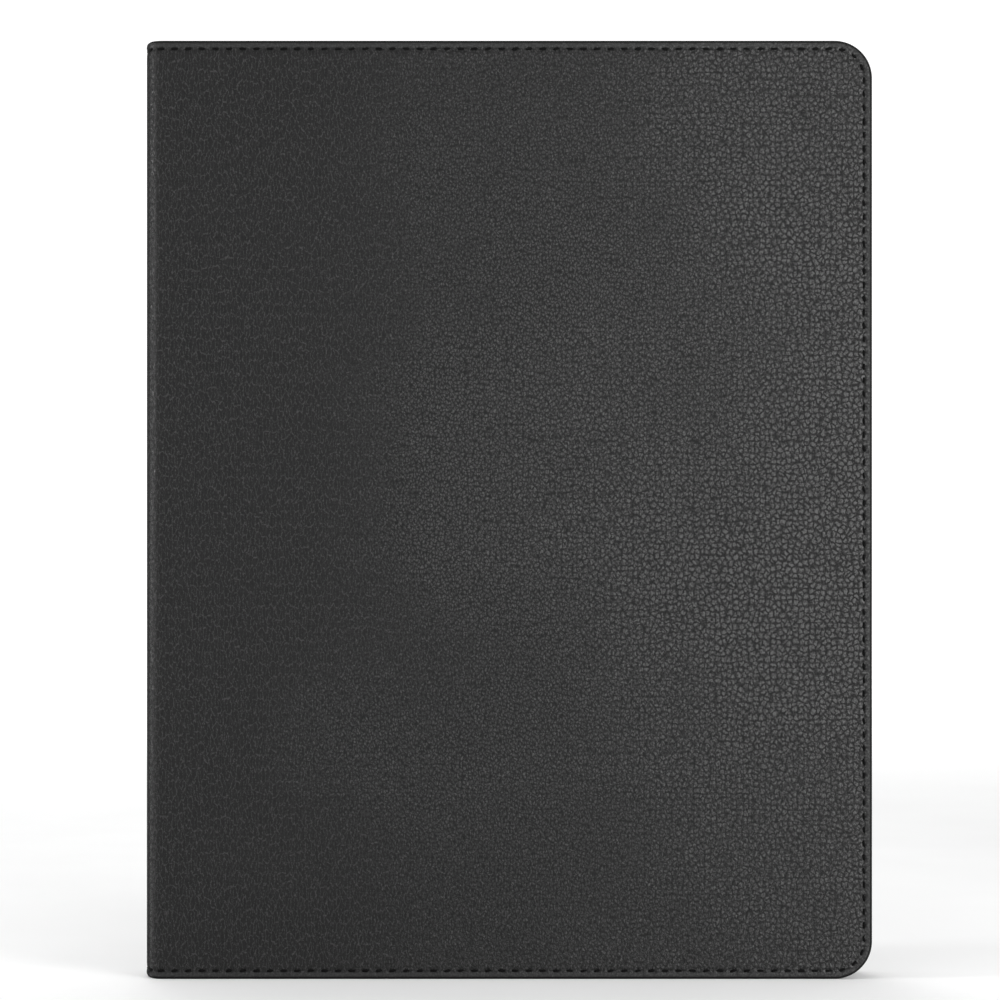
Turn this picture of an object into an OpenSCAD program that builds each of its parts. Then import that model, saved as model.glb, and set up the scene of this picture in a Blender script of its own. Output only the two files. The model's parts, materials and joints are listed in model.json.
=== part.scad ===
// Book-style tablet case: a leather-faced front cover, a rounded spine, a back cover whose
// outer half folds out as a stand, and a snap-in tray that holds the tablet.
// The case stands upright on its bottom edge. X runs from the spine (-) to the open edge (+),
// Y from the front cover (-) to the back cover (+), and Z up. Millimetres.

/* [Tablet] */
// Width of the tablet that the tray holds
tablet_w = 214.9; // [170:0.1:230]
// Height of the tablet
tablet_h = 280.6; // [240:0.1:300]
// Thickness of the tablet
tablet_t = 6.4; // [5:0.1:8]
// Corner radius of the tablet, seen from the front
tablet_r = 18; // [10:0.5:20]

/* [Cover] */
// How much wider the case is than the tablet, spine included
side_room = 10.1; // [9.8:0.1:14]
// How far the covers reach past the tablet at the top and at the bottom
end_room = 4.7; // [4:0.1:8]
// Corner radius of the covers at the open edge
corner_r = 11.6; // [8:0.2:16]
// Outer leather thickness
leather_t = 0.9; // [0.8:0.1:1.1]
// Stiffening board thickness
board_t = 1.4; // [1.2:0.1:1.6]
// Microfibre lining thickness
lining_t = 0.6; // [0.4:0.1:0.7]
// Thickness of the leather where it is turned round the board's edge
turn_t = 0.8; // [0.6:0.1:1]
// Outer radius of the leather where it turns from a cover into the spine
fold_r = 4.6; // [4.2:0.1:5]

/* [Seam] */
// Distance from the edge of the cover to the middle of the seam
seam_inset = 2.6; // [2.2:0.1:3.2]
// Width of the seam's groove and thread
seam_w = 0.9; // [0.6:0.1:1]

/* [Tray] */
// Thickness of the tray's side walls
wall_t = 1.5; // [1.2:0.1:1.6]
// How far the lip reaches in over the tablet's face
lip_w = 1.2; // [0.8:0.1:1.6]
// Length of one button cover
button_l = 10; // [8:0.5:12]
// Travel of a button cover
button_travel = 0.6; // [0.4:0.1:0.6]

/* [Stand] */
// Half the width of the groove in the back leather where the stand folds
crease_half = 1.7; // [1.6:0.1:2.2]
// Diameter of the magnets that hold the stand shut
magnet_d = 12; // [8:1:14]

/* [Hidden] */

leather_colour = [0.17, 0.17, 0.175];
lining_colour = [0.25, 0.25, 0.26];
board_colour = [0.55, 0.52, 0.47];
thread_colour = [0.05, 0.05, 0.05];
tray_colour = [0.1, 0.1, 0.11];
metal_colour = [0.75, 0.76, 0.78];
bond_colour = [0.85, 0.85, 0.82];

cover_w = tablet_w + side_room;
cover_h = tablet_h + 2 * end_room;
right = cover_w / 2;
left = -cover_w / 2;

// Layers through the thickness, from the front face to the back face
front_gap = 0.3;
lip_t = 1.0;
tablet_play = 0.2;
pad_t = 0.4;
floor_t = 1.5;
bond_t = 0.4;
shell_t = leather_t + board_t + lining_t;
tray_depth = lip_t + tablet_t + tablet_play + pad_t + floor_t;
case_t = 2 * shell_t + front_gap + tray_depth + bond_t;
front_y = -case_t / 2;
back_y = case_t / 2;
tray_y0 = front_y + shell_t + front_gap;
tray_y1 = tray_y0 + tray_depth;
bay_y0 = tray_y0 + lip_t;
floor_y = tray_y1 - floor_t;
pad_y = floor_y - pad_t;

// The spine is one shallow arc, and each fold is a tighter arc that meets it and the cover smoothly
spine_turn = 30;
fold_cy = case_t / 2 - fold_r;
spine_r = fold_r + fold_cy / sin(spine_turn);
spine_cx = left + spine_r;
fold_cx = spine_cx - (spine_r - fold_r) * cos(spine_turn);
spine_board_turn = 24;
board_gap = 2;

seam_depth = 0.45;
thread_t = 0.35;

// Tray outline, and the room for the tablet in it
bay_clear = 0.1;
spine_room = 4.2;
bay_x0 = left + spine_room + wall_t;
bay_x1 = bay_x0 + tablet_w + 2 * bay_clear;
bay_z0 = end_room - bay_clear;
bay_z1 = cover_h - bay_z0;
bay_mid_y = (bay_y0 + pad_y) / 2;
front_step = 1.2;
back_step = 1.0;
boss_t = 0.9;

// Openings in the tray
port_w = 14;
port_h = 6;
speaker_w = 24;
speaker_h = 2.6;
speaker_x = 62;
pencil_window = [60, 222];
pencil_window_h = 5;
lens_w = 36;
lens_h = 34;
lens_x = 85.5;
lens_z = cover_h - 26.5;
lens_ring = 1.8;
lens_gap = 1.4;
lens_ring_proud = 3;
window_grow = lens_ring + lens_gap;

// Button covers: a stem that shows and a flange that keeps it in the wall
button_w = 3.2;
button_clear = 0.15;
button_flange = 0.7;
flange_t = 0.5;
flange_x = 0.8;
recess_t = flange_x + flange_t + 0.1;
button_proud = 0.4;
power_x = 84;
volume_z = [254, 240];

// Magnets and their steel catches
closure_z = [45, 145, 245];
closure_size = [6, 30];
closure_x = right - 8.5;
wake_at = [right - 12, 190];
wake_d = 8;
magnet_play = 0.1;
magnet_at = [[30, 36], [30, 252], [98, 36], [98, 206]];
catch_t = 0.8;

crease_floor = 1.4;
crease_lining_half = crease_half;
board_room = 0.2;

$fn = 64;
arc_steps = 14;

function arc(cx, cy, r, a0, a1) =
    [for (i = [0:arc_steps]) let (a = a0 + (a1 - a0) * i / arc_steps)
        [cx + r * cos(a), cy + r * sin(a)]];

// A flat layer across the case: its outline is drawn in X and Z, and it fills y0 to y0 + t
module layer(y0, t) {
    translate([0, y0 + t, 0]) rotate([90, 0, 0]) linear_extrude(t) children();
}

// Outline of a cover from x0 to the open edge, whose two corners are round
module cover_2d(x0, inset = 0) {
    r = corner_r - inset;
    polygon(concat(
        [[x0, inset]],
        arc(right - corner_r, corner_r, r, -90, 0),
        arc(right - corner_r, cover_h - corner_r, r, 0, 90),
        [[x0, cover_h - inset]]
    ));
}

// The turned edge of a cover from x0, as a band along its top, bottom and open edges
module turned_2d(x0) {
    difference() {
        cover_2d(x0);
        cover_2d(x0 - 1, turn_t);
    }
}

module box_2d(x0, x1, z0, z1) {
    translate([x0, z0]) square([x1 - x0, z1 - z0]);
}

module round_2d(x0, x1, z0, z1, r) {
    polygon(concat(
        arc(x0 + r, z0 + r, r, 180, 270),
        arc(x1 - r, z0 + r, r, 270, 360),
        arc(x1 - r, z1 - r, r, 0, 90),
        arc(x0 + r, z1 - r, r, 90, 180)
    ));
}

module centred_2d(x, z, w, h, r) {
    round_2d(x - w / 2, x + w / 2, z - h / 2, z + h / 2, r);
}

// The seam's line around the open edge of a cover, from x0
module seam_2d(x0) {
    difference() {
        cover_2d(x0, seam_inset - seam_w / 2);
        cover_2d(x0 - 1, seam_inset + seam_w / 2);
    }
}

// The seam's line along the top and bottom edges only
module straight_seam_2d(x0, x1) {
    for (z = [seam_inset, cover_h - seam_inset])
        box_2d(x0, x1, z - seam_w / 2, z + seam_w / 2);
}

// The turned edge along the top and bottom edges only
module straight_turned_2d(x0, x1) {
    box_2d(x0, x1, 0, turn_t);
    box_2d(x0, x1, cover_h - turn_t, cover_h);
}

// An upright strip whose section is the part of a ring between two angles
module ring_strip(cx, cy, r1, r0, a0, a1, z0 = 0, z1 = cover_h) {
    far = 2 * r1;
    translate([cx, cy, z0]) linear_extrude(z1 - z0) intersection() {
        difference() {
            circle(r1);
            circle(r0);
        }
        polygon([[0, 0], for (a = [a0, (a0 + a1) / 2, a1]) [far * cos(a), far * sin(a)]]);
    }
}

module closure_2d(play = 0) {
    for (z = closure_z)
        box_2d(closure_x - closure_size.x / 2 - play, closure_x + closure_size.x / 2 + play,
            z - closure_size.y / 2 - play, z + closure_size.y / 2 + play);
}

module wake_2d(play = 0) {
    translate(wake_at) circle(d = wake_d + 2 * play);
}

module magnets_2d(play = 0) {
    for (at = magnet_at) translate(at) circle(d = magnet_d + 2 * play);
}

module lens_2d(grow) {
    centred_2d(lens_x, lens_z, lens_w + 2 * grow, lens_h + 2 * grow, 9 + grow);
}

// Front cover

module front_leather() {
    color(leather_colour) difference() {
        union() {
            layer(front_y, leather_t) cover_2d(fold_cx);
            layer(front_y, shell_t) turned_2d(fold_cx);
        }
        layer(front_y - 1, seam_depth + 1) seam_2d(fold_cx - 1);
    }
}

module front_board() {
    color(board_colour) layer(front_y + leather_t, board_t) difference() {
        cover_2d(fold_cx + board_gap, turn_t);
        closure_2d(magnet_play);
        wake_2d(magnet_play);
    }
}

module front_lining() {
    color(lining_colour) layer(front_y + leather_t + board_t, lining_t)
        cover_2d(fold_cx, turn_t);
}

module front_seam_thread() {
    color(thread_colour) layer(front_y + seam_depth - thread_t, thread_t) seam_2d(fold_cx);
}

module closure_magnets() {
    color(metal_colour) layer(front_y + leather_t, board_t) closure_2d();
}

module wake_magnet() {
    color(metal_colour) layer(front_y + leather_t, board_t) wake_2d();
}

// Folds between each cover and the spine: side is -1 at the front and 1 at the back

module fold_strip(side, depth, t) {
    a0 = side < 0 ? 180 + spine_turn : 90;
    a1 = side < 0 ? 270 : 180 - spine_turn;
    ring_strip(fold_cx, side * fold_cy, fold_r - depth, fold_r - depth - t, a0, a1);
}

module front_fold_leather() {
    color(leather_colour) fold_strip(-1, 0, leather_t);
}

module front_fold_lining() {
    color(lining_colour) fold_strip(-1, leather_t + board_t, lining_t);
}

module back_fold_leather() {
    color(leather_colour) fold_strip(1, 0, leather_t);
}

module back_fold_lining() {
    color(lining_colour) fold_strip(1, leather_t + board_t, lining_t);
}

// Spine

module spine_layer(depth, t, turn, z0 = 0, z1 = cover_h) {
    ring_strip(spine_cx, 0, spine_r - depth, spine_r - depth - t, 180 - turn, 180 + turn, z0, z1);
}

module spine_leather() {
    color(leather_colour) difference() {
        union() {
            spine_layer(0, leather_t, spine_turn);
            spine_layer(0, shell_t, spine_turn, 0, turn_t);
            spine_layer(0, shell_t, spine_turn, cover_h - turn_t, cover_h);
        }
        for (z = [seam_inset, cover_h - seam_inset])
            spine_layer(-1, seam_depth + 1, spine_turn + 5, z - seam_w / 2, z + seam_w / 2);
    }
}

module spine_board() {
    color(board_colour)
        spine_layer(leather_t, board_t, spine_board_turn, turn_t, cover_h - turn_t);
}

module spine_lining() {
    color(lining_colour)
        spine_layer(leather_t + board_t, lining_t, spine_turn, turn_t, cover_h - turn_t);
}

module spine_seam_thread() {
    color(thread_colour) for (z = [seam_inset, cover_h - seam_inset])
        spine_layer(seam_depth - thread_t, thread_t, spine_turn, z - seam_w / 2, z + seam_w / 2);
}

// Back cover, the half that the tray is bonded to

module back_leather() {
    color(leather_colour) difference() {
        union() {
            layer(back_y - leather_t, leather_t) box_2d(fold_cx, -crease_half, 0, cover_h);
            layer(back_y - shell_t, shell_t) straight_turned_2d(fold_cx, -crease_half);
        }
        layer(back_y - seam_depth, seam_depth + 1)
            straight_seam_2d(fold_cx - 1, -crease_half + 1);
    }
}

module back_board() {
    color(board_colour) layer(back_y - leather_t - board_t, board_t)
        box_2d(fold_cx + board_gap, -crease_half - board_room, turn_t, cover_h - turn_t);
}

module back_lining() {
    color(lining_colour) layer(back_y - shell_t, lining_t)
        box_2d(fold_cx, -crease_lining_half, turn_t, cover_h - turn_t);
}

module back_seam_thread() {
    color(thread_colour) layer(back_y - seam_depth, thread_t)
        straight_seam_2d(fold_cx, -crease_half);
}

// Tray

module tray_bond() {
    color(bond_colour) layer(tray_y1, bond_t)
        round_2d(bay_x0 + 4, -6, bay_z0 + 6, bay_z1 - 6, 4);
}

module tray_outline_2d(step) {
    round_2d(bay_x0 - wall_t + step, bay_x1 + wall_t - step,
        bay_z0 - wall_t + step, bay_z1 + wall_t - step, tablet_r + wall_t - step);
}

// Puts a button's own frame on the tray: its origin is on the inner face of the wall,
// X points out through the wall, Y is through the case and Z runs along the wall
module on_right_wall(z) {
    translate([bay_x1, bay_mid_y, z]) children();
}

module on_top_wall(x) {
    translate([x, bay_mid_y, bay_z1]) rotate([0, -90, 0]) children();
}

module block(x0, x1, w, l) {
    translate([x0, -w / 2, -l / 2]) cube([x1 - x0, w, l]);
}

module button_boss() {
    block(0, wall_t + boss_t, button_w + 3, button_l + 4);
}

module button_hole() {
    grow = 2 * button_clear;
    block(0, wall_t + boss_t + 1, button_w + grow, button_l + grow);
    block(-1, recess_t, button_w + 2 * button_flange + grow, button_l + 2 * button_flange + grow);
}

module button_cover() {
    block(flange_x, wall_t + boss_t + button_proud, button_w, button_l);
    block(flange_x, flange_x + flange_t, button_w + 2 * button_flange, button_l + 2 * button_flange);
}

module each_button() {
    for (z = volume_z) on_right_wall(z) children();
    on_top_wall(power_x) children();
}

// Slots through the top and bottom walls
module end_wall_slot(x, z, w, h) {
    translate([x, bay_mid_y, z - wall_t - 1]) linear_extrude(2 * wall_t + 2)
        round_2d(-w / 2, w / 2, -h / 2, h / 2, h / 2 - 0.1);
}

module tray() {
    color(tray_colour) difference() {
        union() {
            layer(tray_y0, lip_t) tray_outline_2d(front_step);
            layer(bay_y0, tray_depth - lip_t - back_step) tray_outline_2d(0);
            layer(tray_y1 - back_step, back_step) tray_outline_2d(back_step);
            layer(floor_y, floor_t + lens_ring_proud) lens_2d(lens_ring);
            each_button() button_boss();
        }
        layer(bay_y0, floor_y - bay_y0) round_2d(bay_x0, bay_x1, bay_z0, bay_z1, tablet_r);
        layer(tray_y0 - 1, lip_t + 2) round_2d(bay_x0 + lip_w, bay_x1 - lip_w,
            bay_z0 + lip_w, bay_z1 - lip_w, tablet_r - lip_w);
        layer(floor_y - 1, floor_t + lens_ring_proud + 2) lens_2d(0);
        layer(tray_y1 - catch_t, catch_t + 1) magnets_2d(magnet_play);
        each_button() button_hole();
        end_wall_slot((bay_x0 + bay_x1) / 2, bay_z0, port_w, port_h);
        for (x = [-speaker_x, speaker_x], z = [bay_z0, bay_z1])
            end_wall_slot(x, z, speaker_w, speaker_h);
        translate([bay_x1 - 1, bay_mid_y - pencil_window_h / 2, pencil_window[0]])
            cube([wall_t + 2, pencil_window_h, pencil_window[1] - pencil_window[0]]);
    }
}

module tray_pad() {
    color(lining_colour) layer(pad_y, pad_t) difference() {
        round_2d(bay_x0 + 1, bay_x1 - 1, bay_z0 + 1, bay_z1 - 1, tablet_r - 1);
        lens_2d(1);
    }
}

module catch_plates() {
    color(metal_colour) layer(tray_y1 - catch_t, catch_t) magnets_2d();
}

module power_button() {
    color(tray_colour) on_top_wall(power_x) button_cover();
}

module volume_up_button() {
    color(tray_colour) on_right_wall(volume_z[0]) button_cover();
}

module volume_down_button() {
    color(tray_colour) on_right_wall(volume_z[1]) button_cover();
}

// Crease, where the stand folds out: the leather sinks into a groove that closes at full fold

module crease_leather() {
    low = back_y - crease_floor;
    inner = back_y - leather_t - board_t + 0.1;
    wide = crease_half;
    narrow = crease_half - 0.9;
    color(leather_colour) linear_extrude(cover_h) polygon([
        [-wide, back_y], [-narrow, low], [narrow, low], [wide, back_y],
        [wide, back_y - leather_t], [wide - 0.4, inner], [-wide + 0.4, inner],
        [-wide, back_y - leather_t]
    ]);
}

module crease_lining() {
    color(lining_colour) layer(back_y - shell_t, lining_t)
        box_2d(-crease_lining_half, crease_lining_half, turn_t, cover_h - turn_t);
}

// Stand flap, the outer half of the back cover

module flap_leather() {
    color(leather_colour) difference() {
        union() {
            layer(back_y - leather_t, leather_t) cover_2d(crease_half);
            layer(back_y - shell_t, shell_t) turned_2d(crease_half);
            layer(back_y - shell_t, shell_t) lens_2d(window_grow + turn_t);
        }
        layer(back_y - seam_depth, seam_depth + 1) seam_2d(crease_half - 1);
        layer(back_y - shell_t - 1, shell_t + 2) lens_2d(window_grow);
    }
}

module flap_board() {
    color(board_colour) layer(back_y - leather_t - board_t, board_t) difference() {
        cover_2d(crease_half + board_room, turn_t);
        lens_2d(window_grow + turn_t);
        magnets_2d(magnet_play);
    }
}

module flap_lining() {
    color(lining_colour) layer(back_y - shell_t, lining_t) difference() {
        cover_2d(crease_lining_half, turn_t);
        lens_2d(window_grow + turn_t);
    }
}

module flap_seam_thread() {
    color(thread_colour) layer(back_y - seam_depth, thread_t) seam_2d(crease_half);
}

module flap_magnets() {
    color(metal_colour) layer(back_y - leather_t - board_t, board_t) magnets_2d();
}

front_leather();
front_board();
front_lining();
front_seam_thread();
closure_magnets();
wake_magnet();
front_fold_leather();
front_fold_lining();
spine_leather();
spine_board();
spine_lining();
spine_seam_thread();
back_fold_leather();
back_fold_lining();
back_leather();
back_board();
back_lining();
back_seam_thread();
tray_bond();
tray();
tray_pad();
catch_plates();
power_button();
volume_up_button();
volume_down_button();
crease_leather();
crease_lining();
flap_leather();
flap_board();
flap_lining();
flap_seam_thread();
flap_magnets();
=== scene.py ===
# %% [markdown]
# # A leather tablet case
#
# A book-style case is a sandwich: leather outside, stiff board in the middle, microfibre inside.
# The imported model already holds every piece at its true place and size, so this lesson dresses it:
# leather that turns round the edges, a sewn seam, a moulded tray, and a soft lining.
# Everything is in metres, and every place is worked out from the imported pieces.

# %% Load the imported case
import math

import bmesh
import bpy
import numpy as np
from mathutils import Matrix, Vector
from mathutils.geometry import delaunay_2d_cdt
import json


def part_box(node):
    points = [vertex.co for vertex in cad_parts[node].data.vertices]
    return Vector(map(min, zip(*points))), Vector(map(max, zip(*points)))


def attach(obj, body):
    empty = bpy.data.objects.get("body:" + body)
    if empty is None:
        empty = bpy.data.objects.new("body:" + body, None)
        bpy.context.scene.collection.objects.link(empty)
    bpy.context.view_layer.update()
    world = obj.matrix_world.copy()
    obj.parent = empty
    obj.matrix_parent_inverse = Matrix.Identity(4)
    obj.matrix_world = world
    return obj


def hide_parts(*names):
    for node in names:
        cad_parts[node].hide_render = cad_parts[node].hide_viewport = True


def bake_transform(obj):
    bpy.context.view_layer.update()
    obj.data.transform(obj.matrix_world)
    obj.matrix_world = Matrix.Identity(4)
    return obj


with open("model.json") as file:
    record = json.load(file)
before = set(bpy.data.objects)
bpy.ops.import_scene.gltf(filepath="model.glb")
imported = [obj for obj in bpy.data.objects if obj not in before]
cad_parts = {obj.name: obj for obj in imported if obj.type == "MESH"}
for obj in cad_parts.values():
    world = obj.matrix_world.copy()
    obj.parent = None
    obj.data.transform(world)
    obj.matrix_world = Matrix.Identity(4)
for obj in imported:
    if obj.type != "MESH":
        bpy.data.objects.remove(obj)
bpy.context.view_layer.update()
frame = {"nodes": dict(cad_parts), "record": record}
MM = 0.001


def new_object(name, data):
    """A new object with its data, put into the scene."""
    made = bpy.data.objects.new(name, data)
    bpy.context.scene.collection.objects.link(made)
    return made


def evaluated_mesh(piece):
    """A plain mesh of a piece with its modifiers applied."""
    bpy.context.view_layer.update()
    depsgraph = bpy.context.evaluated_depsgraph_get()
    return bpy.data.meshes.new_from_object(piece.evaluated_get(depsgraph))

# %% [markdown]
# ## The case's own measures
#
# The covers, the folds and the spine share one outline. The spine is a shallow arc of 60 degrees,
# and each fold is a tighter arc of 60 degrees that joins it to a flat cover. Their radii follow from
# where the spine's leather ends and where the flat leather starts.

# %% Measure the case
front_low, front_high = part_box("front_leather")
spine_low, spine_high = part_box("spine_leather")
pad_low, pad_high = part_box("tray_pad")
tray_low, tray_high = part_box("tray")

CASE_H = front_high.z
HALF_T = -front_low.y
SHELL = front_high.y - front_low.y
FOLD_X = front_low.x
RIGHT = front_high.x
FOLD_R = 2 * (HALF_T - spine_high.y)
FOLD_Y = HALF_T - FOLD_R
SPINE_TURN = math.radians(30)
SPINE_R = FOLD_R + FOLD_Y / math.sin(SPINE_TURN)
SPINE_X = spine_low.x + SPINE_R
CORNER_R = 11.6 * MM
SEAM_IN = 2.6 * MM
SPINE_L = SPINE_R * SPINE_TURN
FOLD_L = FOLD_R * (math.pi / 2 - SPINE_TURN)
FLAT_S = SPINE_L + FOLD_L
SHEET_S = FLAT_S + RIGHT - FOLD_X
CREASE_S = FLAT_S - FOLD_X
print(f"shell {SHELL / MM:.1f}, fold {FOLD_R / MM:.1f}, spine {SPINE_R / MM:.1f} mm")

# %% [markdown]
# ## Leather is cut flat, then wrapped
#
# A maker cuts leather flat and wraps it. The same idea keeps the modelling simple: every leather or
# lining mesh is laid out on a flat cut, with `s` measured from the middle of the spine towards the
# open edge and `z` up the case, plus a depth `n` above the leather's face. One function then
# wraps the cut around the spine and the fold. `side` is -1 for the front and 1 for the back.

# %% Wrap a flat cut around the case
def wrap(s, z, n, side):
    """Where a point of the flat cut ends up, for arrays of s, z and n."""
    s, z, n = np.broadcast_arrays(np.asarray(s, float), z, n)
    on_spine = s < SPINE_L
    on_fold = ~on_spine & (s < FLAT_S)
    turn = np.where(on_spine, s / SPINE_R, SPINE_TURN + (s - SPINE_L) / FOLD_R)
    radius = np.where(on_spine, SPINE_R, FOLD_R) + n
    centre_x = np.where(on_spine, SPINE_X, FOLD_X)
    centre_y = np.where(on_spine, 0.0, FOLD_Y)
    curved = on_spine | on_fold
    x = np.where(curved, centre_x - radius * np.cos(turn), FOLD_X + s - FLAT_S)
    y = np.where(curved, centre_y + radius * np.sin(turn), HALF_T + n)
    return np.stack([x, side * y, z], -1)


print("spine middle, mm:", (wrap(0, 0, 0, -1) / MM).round(2))
print("open edge, mm:", (wrap(SHEET_S, 0, 0, -1) / MM).round(2))

# %% [markdown]
# ## The seam's path
#
# The seam runs along the bottom edge, round two corners and back along the top edge, at a fixed
# distance from the edge. Everything near the edge is laid out along it: a column of points is at
# a distance `t` along the seam, and `inset` says how far in from the edge a point lies. A whole
# number of stitches fits the path, and the path starts and ends half-way between two stitches.

# %% Lay out the seam's path
STITCH = 4.2 * MM
STRAIGHT = SHEET_S - CORNER_R
ARC = (CORNER_R - SEAM_IN) * math.pi / 2
UPRIGHT = CASE_H - 2 * CORNER_R
SEAM_L = 2 * STRAIGHT + 2 * ARC + UPRIGHT
STITCHES = round(SEAM_L / STITCH)
PITCH = SEAM_L / STITCHES


def along_edge(t, inset):
    """Flat-cut place (s, z) at distance t along the seam and inset from the edge."""
    if t > SEAM_L / 2:
        s, z = along_edge(SEAM_L - t, inset)
        return s, CASE_H - z
    if t < STRAIGHT:
        return t, inset
    if t < STRAIGHT + ARC:
        turn = (t - STRAIGHT) / (CORNER_R - SEAM_IN)
        reach = CORNER_R - inset
        return STRAIGHT + reach * math.sin(turn), CORNER_R - reach * math.cos(turn)
    return SHEET_S - inset, CORNER_R + t - STRAIGHT - ARC


print(f"{STITCHES} stitches, {PITCH / MM:.3f} mm apart, on {SEAM_L / MM:.0f} mm of seam")

# %% [markdown]
# Columns are close together along the whole seam, because each stitch pulls the leather down, and
# closer still where the leather bends at the folds and at the stand's crease. Half the path is
# laid out and mirrored, so that the top edge matches the bottom edge.

# %% Choose the columns
COLUMNS_A_STITCH = 8
BEND_ZONES = ((SPINE_L - 1 * MM, FLAT_S + 3 * MM), (CREASE_S - 4 * MM, CREASE_S + 4 * MM))
BEND_STEP = 0.26 * MM


def seam_columns():
    """Distances along the seam for every column of points, from one end to the other."""
    half = set(np.round(np.arange(0, SEAM_L / 2 - PITCH / 16, PITCH / COLUMNS_A_STITCH), 9))
    for low, high in BEND_ZONES:
        half = {t for t in half if not low - 1e-9 < t < high + 1e-9}
        half |= set(np.round(np.linspace(low, high, round((high - low) / BEND_STEP) + 1), 9))
    half = sorted(half)
    return half + [SEAM_L / 2] + [SEAM_L - t for t in reversed(half)]


COLUMNS = seam_columns()
LAST = len(COLUMNS) - 1


def column_at(t):
    """The column nearest to a distance along the seam."""
    return min(range(LAST + 1), key=lambda k: abs(COLUMNS[k] - t))


FOLD_END = column_at(BEND_ZONES[0][1])
SPLIT = column_at(BEND_ZONES[1][0])
CREASE_END = column_at(BEND_ZONES[1][1])
print(LAST + 1, "columns; fold ends at", FOLD_END, "crease zone", SPLIT, "to", CREASE_END)

# %% [markdown]
# ## How a seam shapes leather
#
# A stitch pulls the leather into a short, deep pit, and the leather between two stitches puckers
# up. The whole seam also sits in a shallow valley. Each stitch was pulled a little differently,
# so each one gets its own strength from a seeded list.

# %% The leather's relief near the seam
rng = np.random.default_rng(7)
PULL = rng.uniform(0.8, 1.15, STITCHES + 1)


def smooth(low, high, value):
    t = np.clip((value - low) / (high - low), 0, 1)
    return t * t * (3 - 2 * t)


def seam_relief(t, inset, depth=1.0):
    """Height of the leather's face, in metres, near the seam."""
    phase = t / PITCH
    pull = PULL[int(min(phase, STITCHES))]
    off = abs(phase % 1 - 0.5) * PITCH / MM
    across = (inset - SEAM_IN) / MM
    pit = 1 - 0.86 * smooth(0.75, 1.5, off)
    pucker = math.cos(2 * math.pi * phase)
    height = -0.42 * pull * pit * math.exp(-((across / 0.58) ** 2))
    height -= 0.05 * math.exp(-((across / 1.1) ** 2))
    height += 0.06 * pull * pucker * math.exp(-(((across + 0.95) / 0.5) ** 2))
    height += 0.05 * pull * pucker * math.exp(-(((across - 0.9) / 0.5) ** 2))
    height += 0.09 * math.exp(-(((across + 1.25) / 0.45) ** 2))
    fade = 1 - smooth(1.0, 1.45, across)
    return float(height * fade * depth * MM)


print(f"deepest stitch pit: {seam_relief(PITCH / 2, SEAM_IN) / MM:.2f} mm")

# %% [markdown]
# ## Rings around the edge
#
# From the flat face outwards the leather is a set of rings: past the seam, over a rounded edge,
# down the side, round underneath, and a little way back in, where the lining covers it. Each ring
# is an inset and a depth. `cut` is the ring's inset on the unrolled leather, which the grain follows.

# %% Define the ring profiles
BAND = 4.4 * MM
EDGE_R = 0.95 * MM
UNDER_R = 0.7 * MM


def arc_points(steps, radius, centre, start, end):
    """Points (inset, depth) on part of a circle, angles in degrees."""
    angles = np.radians(np.linspace(start, end, steps + 1))
    return [(centre[0] + radius * math.cos(a), centre[1] + radius * math.sin(a)) for a in angles]


def leather_rings():
    flat = [(d * MM, 0.0) for d in (4.4, 4.1, 3.7, 3.4, 3.1, 2.85, 2.6, 2.35, 2.1, 1.8, 1.4)]
    edge = arc_points(4, EDGE_R, (EDGE_R, -EDGE_R), 90, 180)
    under = arc_points(3, UNDER_R, (UNDER_R, -SHELL + UNDER_R), 180, 270)
    tuck = [(1.5 * MM, -SHELL), (1.75 * MM, -SHELL + 0.35 * MM), (4 * MM, -SHELL + 0.45 * MM)]
    return flat + edge + under + tuck


def lining_rings():
    edge = arc_points(3, 0.3 * MM, (1.95 * MM, -SHELL + 0.25 * MM), 270, 180)
    flat = [(d * MM, -SHELL - 0.05 * MM) for d in (4.4, 4.1, 3.6, 3.3, 3.0, 2.8, 2.6, 2.4, 2.2)]
    return flat + edge


print(len(leather_rings()), "rings of leather,", len(lining_rings()), "of lining")


# %% [markdown]
# ## From rings to a mesh
#
# The ringed band follows the edge. Inside it, the leather that bends at a fold or at the crease is
# a regular grid, so that it curves evenly. The flat rest has nothing to show in its shape, so
# it is filled with triangles between the band, the grid and an even scatter of points.

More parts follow.
